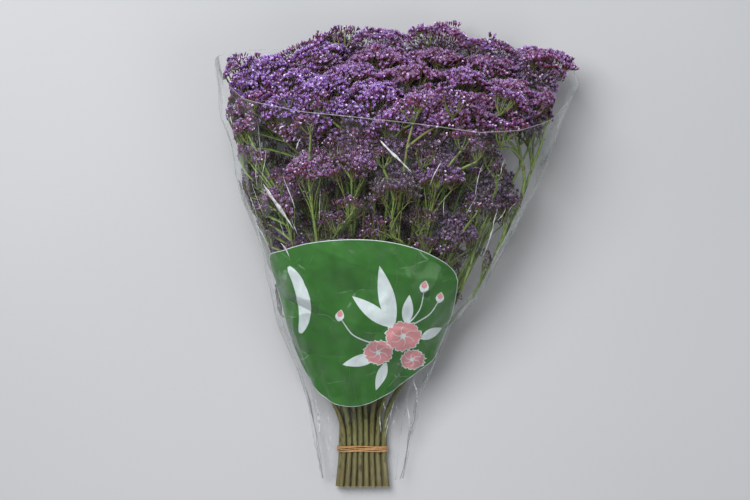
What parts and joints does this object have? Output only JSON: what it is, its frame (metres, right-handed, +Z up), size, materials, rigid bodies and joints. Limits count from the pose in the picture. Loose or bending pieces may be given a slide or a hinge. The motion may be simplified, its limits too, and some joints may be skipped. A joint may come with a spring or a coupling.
{
  "type": "dried statice bunch",
  "caption": "Sleeved bunch of dried violet statice: forked green stems carry domed heads of fine florets in a clear cone of film, tied near the cut ends, lying on its back.",
  "frame": {"origin": "a point on the flat underside of the sleeve, under the middle of the flowers and stems, where the bunch rests", "axes": "+Y from the cut stem ends to the flower heads, +Z up from the surface that the bunch lies on, +X across it to the right as seen from above"},
  "size_m": [0.5321, 0.6995, 0.2865],
  "materials": {
    "florets": "matte",
    "stem_green": "satin",
    "rubber": "matte",
    "clear_film": "gloss"
  },
  "bodies": {
    "root": {"crown_1_stem": "stem_green", "crown_1_head_1": "florets", "crown_1_head_2": "florets", "crown_1_head_3": "florets", "crown_2_stem": "stem_green", "crown_2_head_1": "florets", "crown_2_head_2": "florets", "crown_3_stem": "stem_green", "crown_3_head_1": "florets", "crown_3_head_2": "florets", "crown_3_head_3": "florets", "crown_4_stem": "stem_green", "crown_4_head_1": "florets", "crown_4_head_2": "florets", "crown_5_stem": "stem_green", "crown_5_head_1": "florets", "crown_5_head_2": "florets", "crown_6_stem": "stem_green", "crown_6_head_1": "florets", "crown_6_head_2": "florets", "crown_6_head_3": "florets", "crown_7_stem": "stem_green", "crown_7_head_1": "florets", "crown_7_head_2": "florets", "crown_8_stem": "stem_green", "crown_8_head_1": "florets", "crown_8_head_2": "florets", "crown_8_head_3": "florets", "crown_9_stem": "stem_green", "crown_9_head_1": "florets", "crown_9_head_2": "florets", "crown_9_head_3": "florets", "crown_10_stem": "stem_green", "crown_10_head_1": "florets", "crown_10_head_2": "florets", "crown_10_head_3": "florets", "crown_11_stem": "stem_green", "crown_11_head_1": "florets", "crown_11_head_2": "florets", "crown_11_head_3": "florets", "crown_11_head_4": "florets", "crown_11_head_5": "florets", "skirt_1_stem": "stem_green", "skirt_1_head_1": "florets", "skirt_1_head_2": "florets", "skirt_1_head_3": "florets", "skirt_2_stem": "stem_green", "skirt_2_head_1": "florets", "skirt_2_head_2": "florets", "skirt_3_stem": "stem_green", "skirt_3_head_1": "florets", "skirt_3_head_2": "florets", "skirt_4_stem": "stem_green", "skirt_4_head_1": "florets", "skirt_4_head_2": "florets", "skirt_5_stem": "stem_green", "skirt_5_head_1": "florets", "skirt_5_head_2": "florets", "rubber_band": "rubber", "film_sleeve": "clear_film"}
  },
  "joints": []
}
